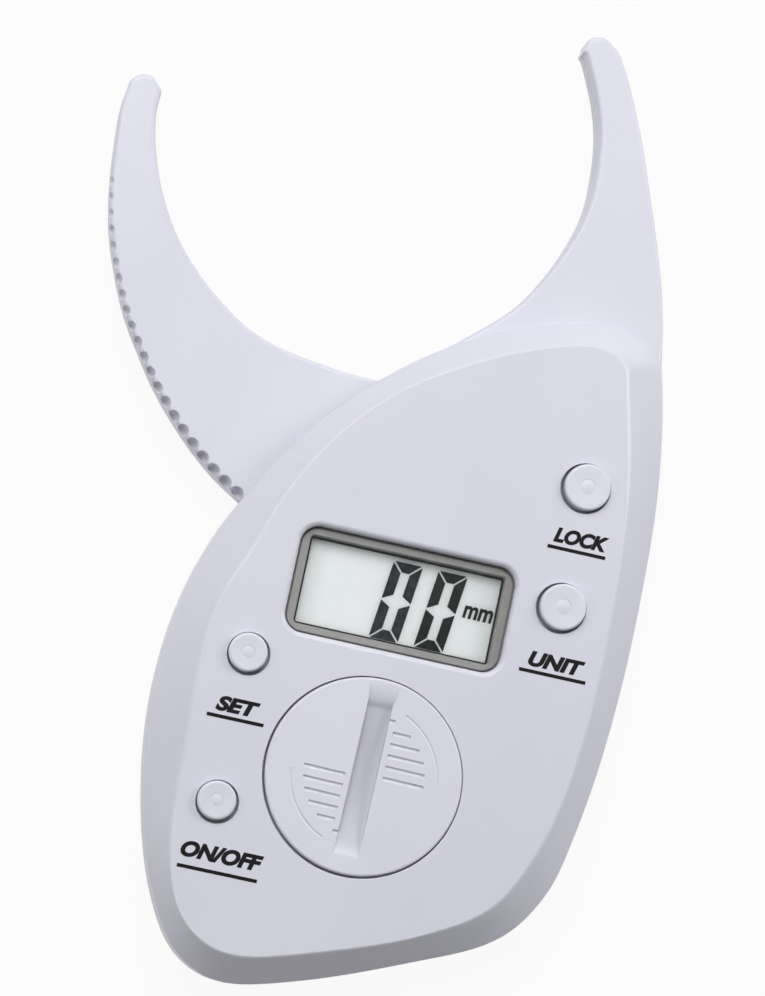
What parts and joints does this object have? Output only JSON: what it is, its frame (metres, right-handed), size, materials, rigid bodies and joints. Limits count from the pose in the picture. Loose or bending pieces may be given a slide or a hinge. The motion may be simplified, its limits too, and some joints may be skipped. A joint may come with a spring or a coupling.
{
  "type": "skinfold caliper",
  "caption": "Handheld body-fat caliper with a fixed jaw, a swinging jaw with a fluted edge, a small display, push buttons and a coin-slot battery cover.",
  "frame": {"origin": "where the swinging jaw's pivot axis meets the flat back, jaws fully open", "axes": "+Z out of the display face along the pivot axis, +X the display's reading direction, +Y towards the jaws"},
  "size_m": [0.0995, 0.1642, 0.018],
  "materials": {
    "shell": "satin moulded white plastic with a faint lavender cast",
    "cover": "satin moulded plastic, a shade darker than the shell",
    "button": "satin moulded plastic",
    "grey_plastic": "mid-grey moulded plastic",
    "clear": "clear polished plastic window",
    "lcd_glass": "pale green-grey reflective display glass",
    "rubber": "striped conductive elastomer",
    "board": "green solder mask on glass-fibre board",
    "black": "black moulded plastic or epoxy",
    "ceramic": "tan ceramic with tinned ends",
    "steel": "bright nickel-plated steel",
    "copper": "bare copper pattern on a thin board"
  },
  "bodies": {
    "housing": {"front_housing": "shell", "rear_housing": "shell", "wave_washer": "steel", "pivot_washer": "steel", "pivot_screw": "steel", "main_board": "board", "chip_blob": "black", "crystal": "steel", "capacitor": "ceramic", "display_holder": "grey_plastic", "display_lens": "clear", "lcd_panel": "lcd_glass", "lcd_connector_strip": "rubber", "hold_switch": "black", "units_switch": "black", "zero_switch": "black", "power_switch": "black", "coin_cell": "steel", "battery_spring": "steel", "battery_clip": "steel", "board_screw_1": "steel", "board_screw_2": "steel", "board_screw_3": "steel", "housing_screw_1": "steel", "housing_screw_2": "steel", "housing_screw_3": "steel", "housing_screw_4": "steel", "housing_screw_5": "steel"},
    "jaw": {"moving_jaw": "shell", "sensor_rotor": "copper"},
    "battery_cover_body": {"battery_cover": "cover"},
    "hold_key": {"hold_button": "button", "hold_plunger": "grey_plastic"},
    "units_key": {"units_button": "button", "units_plunger": "grey_plastic"},
    "zero_key": {"zero_button": "button", "zero_plunger": "grey_plastic"},
    "power_key": {"power_button": "button", "power_plunger": "grey_plastic"}
  },
  "joints": [
    {"name": "jaw_swing", "type": "hinge", "parent": "housing", "child": "jaw", "pos_m": [0, 0, 0], "axis": [0, 0, 1], "range_deg": [-54.35, 0]},
    {"name": "hold_press", "type": "slide", "parent": "housing", "child": "hold_key", "axis": [0, 0, -1], "range_m": [0, 0.0005], "stiffness_N_per_m": 2000, "springref_m": -0.0003},
    {"name": "units_press", "type": "slide", "parent": "housing", "child": "units_key", "axis": [0, 0, -1], "range_m": [0, 0.0005], "stiffness_N_per_m": 2000, "springref_m": -0.0003},
    {"name": "zero_press", "type": "slide", "parent": "housing", "child": "zero_key", "axis": [0, 0, -1], "range_m": [0, 0.0005], "stiffness_N_per_m": 2000, "springref_m": -0.0003},
    {"name": "power_press", "type": "slide", "parent": "housing", "child": "power_key", "axis": [0, 0, -1], "range_m": [0, 0.0005], "stiffness_N_per_m": 2000, "springref_m": -0.0003},
    {"name": "battery_cover_turn", "type": "hinge", "parent": "housing", "child": "battery_cover_body", "pos_m": [0, -0.04926, 0.015], "axis": [0, 0, 1], "range_deg": [0, 60]}
  ]
}
